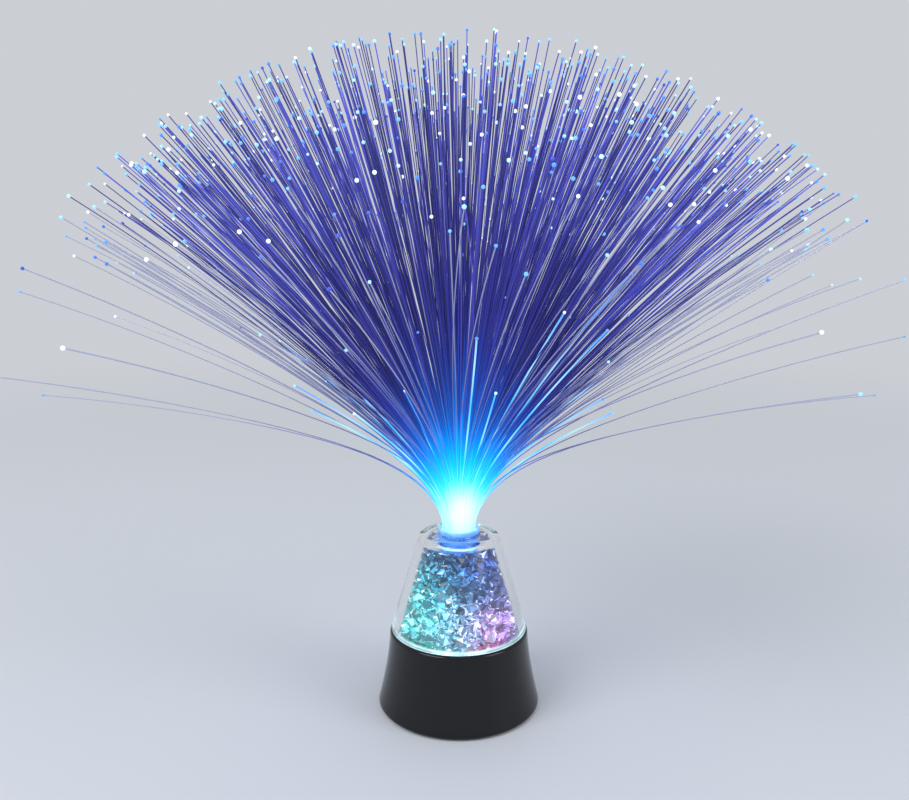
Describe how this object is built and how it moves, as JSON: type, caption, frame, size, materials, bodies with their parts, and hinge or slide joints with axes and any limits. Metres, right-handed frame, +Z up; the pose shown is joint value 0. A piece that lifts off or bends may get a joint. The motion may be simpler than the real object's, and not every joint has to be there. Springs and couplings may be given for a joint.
{
  "type": "fibre optic lamp",
  "caption": "Battery lamp: a spray of plastic fibres in a ferrule, on a clear cone of crushed crystals over a flared base with a slide switch and a tilting battery door.",
  "frame": {"origin": "centre of the lamp's footprint on the table, on the lamp's axis", "axes": "+Z up along the lamp's axis, -Y towards the front, +Y towards the switch"},
  "size_m": [0.4292, 0.4328, 0.3397],
  "materials": {
    "gloss_black": "moulded, glossy black",
    "matt_black": "moulded, fine texture",
    "rubber_grey": "matt",
    "clear_acrylic": "clear, polished",
    "crystal_clear": "clear crushed chips",
    "fibre_clear": "clear fibres, lit from below",
    "ferrule_blue": "clear moulding, lit from inside",
    "board_green": "solder mask",
    "chip_black": "matt",
    "steel": "plated",
    "spring_steel": "nickel plated",
    "cell_jacket": "printed jacket, plain",
    "switch_grey": "moulded",
    "red_wire": "insulation",
    "black_wire": "insulation",
    "lamp_white": "clear moulded lens, lit",
    "lamp_red": "clear moulded lens, lit",
    "lamp_green": "clear moulded lens, lit",
    "lamp_blue": "clear moulded lens, lit"
  },
  "bodies": {
    "lamp": {"base_housing": "gloss_black", "bottom_cover": "matt_black", "rubber_foot_1": "rubber_grey", "rubber_foot_2": "rubber_grey", "rubber_foot_3": "rubber_grey", "cover_screw_1": "steel", "cover_screw_2": "steel", "cover_screw_3": "steel", "battery_cell_1": "cell_jacket", "battery_cell_2": "cell_jacket", "battery_cell_3": "cell_jacket", "contact_positive": "spring_steel", "contact_bridge_front": "spring_steel", "contact_bridge_rear": "spring_steel", "contact_negative": "spring_steel", "battery_spring_1": "spring_steel", "battery_spring_2": "spring_steel", "battery_spring_3": "spring_steel", "switch_body": "switch_grey", "led_board": "board_green", "controller_chip": "chip_black", "board_screw_1": "steel", "board_screw_2": "steel", "board_screw_3": "steel", "led_centre": "lamp_white", "led_red": "lamp_red", "led_green": "lamp_green", "led_blue": "lamp_blue", "wire_positive": "red_wire", "wire_switched": "red_wire", "wire_negative": "black_wire", "crystal_tray": "clear_acrylic", "light_tube": "clear_acrylic", "crystal_bed": "crystal_clear", "crystal_cone": "clear_acrylic"},
    "door": {"battery_door": "matt_black"},
    "switch": {"switch_knob": "switch_grey"},
    "spray": {"fibre_ferrule": "ferrule_blue", "fibre_spray": "fibre_clear"}
  },
  "joints": [
    {"name": "battery_door_hinge", "type": "hinge", "parent": "lamp", "child": "door", "pos_m": [0, -0.03175, 0.0012], "axis": [-1, 0, 0], "range_deg": [0, 75]},
    {"name": "switch_slide", "type": "slide", "parent": "lamp", "child": "switch", "axis": [-1, 0, 0], "range_m": [0, 0.004]},
    {"name": "spray_lift", "type": "slide", "parent": "lamp", "child": "spray", "axis": [0, 0, 1], "range_m": [0, 0.03]}
  ]
}
